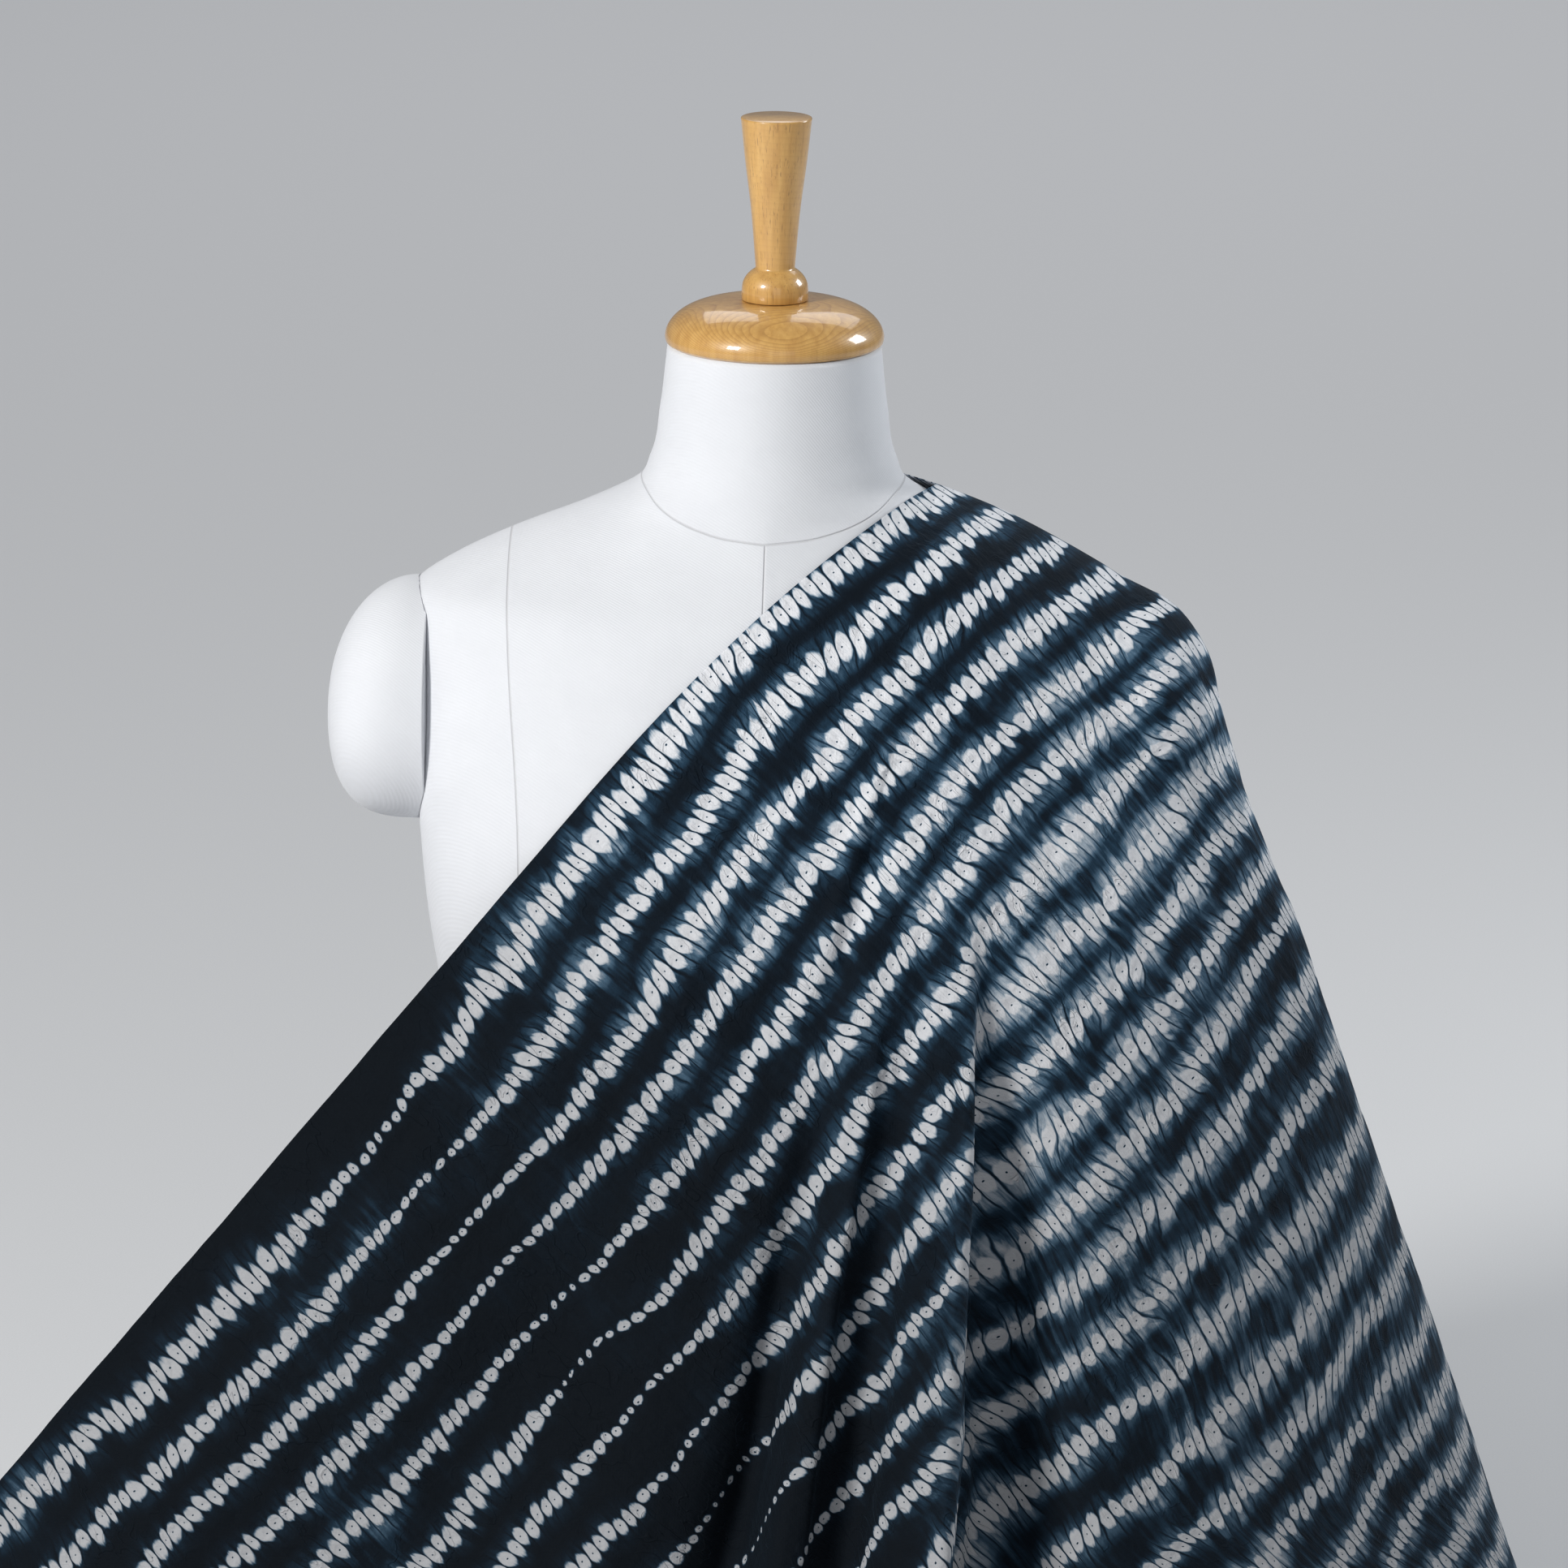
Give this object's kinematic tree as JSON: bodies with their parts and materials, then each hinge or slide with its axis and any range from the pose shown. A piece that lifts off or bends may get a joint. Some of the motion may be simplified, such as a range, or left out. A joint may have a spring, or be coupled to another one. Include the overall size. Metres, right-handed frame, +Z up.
{
  "type": "shibori cloth on dress form",
  "caption": "Indigo stitch-resist cotton length draped over one shoulder of a canvas-covered dress form with a turned wooden neck cap.",
  "frame": {"origin": "middle of the torso's flat underside, on the surface that carries the form", "axes": "+Z up, -Y out of the chest towards the viewer, +X towards the shoulder that carries the cloth"},
  "size_m": [1.0061, 0.6024, 0.863],
  "materials": {
    "canvas": "tightly woven off-white canvas, matt",
    "turned_wood": "clear gloss varnish",
    "indigo_cotton": "thin crinkled plain-weave cotton, white resist figures on indigo"
  },
  "bodies": {
    "root": {"form_torso": "canvas", "form_arm_cap_left": "canvas", "form_arm_cap_right": "canvas", "neck_cap": "turned_wood", "neck_finial": "turned_wood", "shibori_cloth": "indigo_cotton"}
  },
  "joints": []
}
